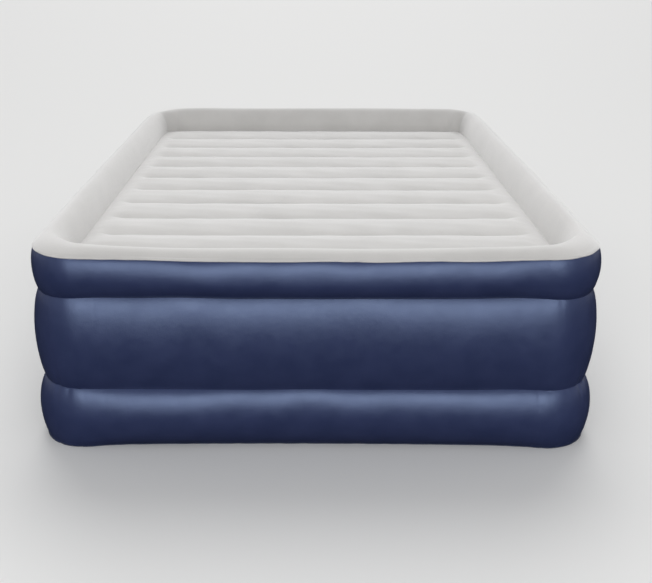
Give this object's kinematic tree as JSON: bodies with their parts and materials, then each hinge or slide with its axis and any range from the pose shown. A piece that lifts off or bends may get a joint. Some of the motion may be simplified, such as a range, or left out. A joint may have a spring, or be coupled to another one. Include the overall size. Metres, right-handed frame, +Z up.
{
  "type": "air mattress",
  "caption": "Raised air mattress with a flocked, channelled sleeping surface inside a raised rim, three bulging side bands and a built-in electric pump.",
  "frame": {"origin": "on the floor, under the centre of the mattress", "axes": "+Z up; +Y along the length towards the head end, where the pump is; +X to the right when looking from the foot end towards the head end"},
  "size_m": [1.5198, 2.0298, 0.56],
  "materials": {
    "flock": "flocked, matt, warm light grey",
    "wall_vinyl": "satin navy vinyl",
    "base_vinyl": "matt dark navy vinyl",
    "inner_vinyl": "plain clear-grey vinyl",
    "collar_vinyl": "satin dark navy vinyl",
    "face_plastic": "fine-grained dark grey",
    "case_plastic": "fine-grained black",
    "knob_plastic": "satin mid grey",
    "works_plastic": "plain moulded off-white",
    "switch_plastic": "black",
    "rocker_plastic": "gloss black",
    "valve_rubber": "soft black",
    "filter_foam": "open-cell foam",
    "steel": "zinc plated"
  },
  "bodies": {
    "mattress": {"base_beam_1": "inner_vinyl", "base_beam_2": "inner_vinyl", "base_beam_3": "inner_vinyl", "base_beam_4": "inner_vinyl", "base_beam_5": "inner_vinyl", "blower_volute": "works_plastic", "bottom_sheet": "base_vinyl", "channel_web_01": "inner_vinyl", "channel_web_02": "inner_vinyl", "channel_web_03": "inner_vinyl", "channel_web_04": "inner_vinyl", "channel_web_05": "inner_vinyl", "channel_web_06": "inner_vinyl", "channel_web_07": "inner_vinyl", "channel_web_08": "inner_vinyl", "channel_web_09": "inner_vinyl", "channel_web_10": "inner_vinyl", "cord_gland": "valve_rubber", "cord_tray": "case_plastic", "door_pin": "steel", "drum_sleeve": "works_plastic", "face_screws": "steel", "intake_filter": "filter_foam", "lower_divider": "inner_vinyl", "lower_side_band": "wall_vinyl", "middle_beam_1": "inner_vinyl", "middle_beam_2": "inner_vinyl", "middle_beam_3": "inner_vinyl", "middle_beam_4": "inner_vinyl", "middle_beam_5": "inner_vinyl", "middle_side_band": "wall_vinyl", "motor": "steel", "motor_bracket": "steel", "motor_end_cap": "case_plastic", "motor_screws": "steel", "pump_case": "case_plastic", "pump_collar": "collar_vinyl", "pump_face_plate": "face_plastic", "rim_sheet": "flock", "rim_web": "inner_vinyl", "sleeping_panel": "flock", "switch_body": "switch_plastic", "upper_divider": "inner_vinyl", "upper_side_band": "wall_vinyl", "valve_seat": "works_plastic", "valve_spring": "steel"},
    "selector": {"selector_knob": "knob_plastic", "selector_drum": "works_plastic"},
    "door": {"cord_door": "face_plastic"},
    "rocker": {"switch_rocker": "rocker_plastic"},
    "rotor": {"impeller": "works_plastic", "motor_shaft": "steel"},
    "poppet": {"valve_poppet": "valve_rubber"}
  },
  "joints": [
    {"name": "selector_turn", "type": "hinge", "parent": "mattress", "child": "selector", "pos_m": [-0.462, 0.988, 0.3115], "axis": [0, 1, 0], "range_deg": [-60, 60]},
    {"name": "door_swing", "type": "hinge", "parent": "mattress", "child": "door", "pos_m": [-0.3465, 0.9906, 0.2975], "axis": [0, 0, -1], "range_deg": [0, 110]},
    {"name": "switch_rock", "type": "hinge", "parent": "mattress", "child": "rocker", "pos_m": [-0.462, 0.9855, 0.2595], "axis": [0, 0, 1], "range_deg": [0, 20]},
    {"name": "rotor_spin", "type": "hinge", "parent": "mattress", "child": "rotor", "pos_m": [-0.462, 0.9, 0.3115], "axis": [0, 1, 0], "continuous": true},
    {"name": "valve_lift", "type": "slide", "parent": "mattress", "child": "poppet", "axis": [0, -1, 0], "range_m": [0, 0.006], "stiffness_N_per_m": 200, "springref_m": -0.002, "deforming": ["valve_spring"]}
  ]
}
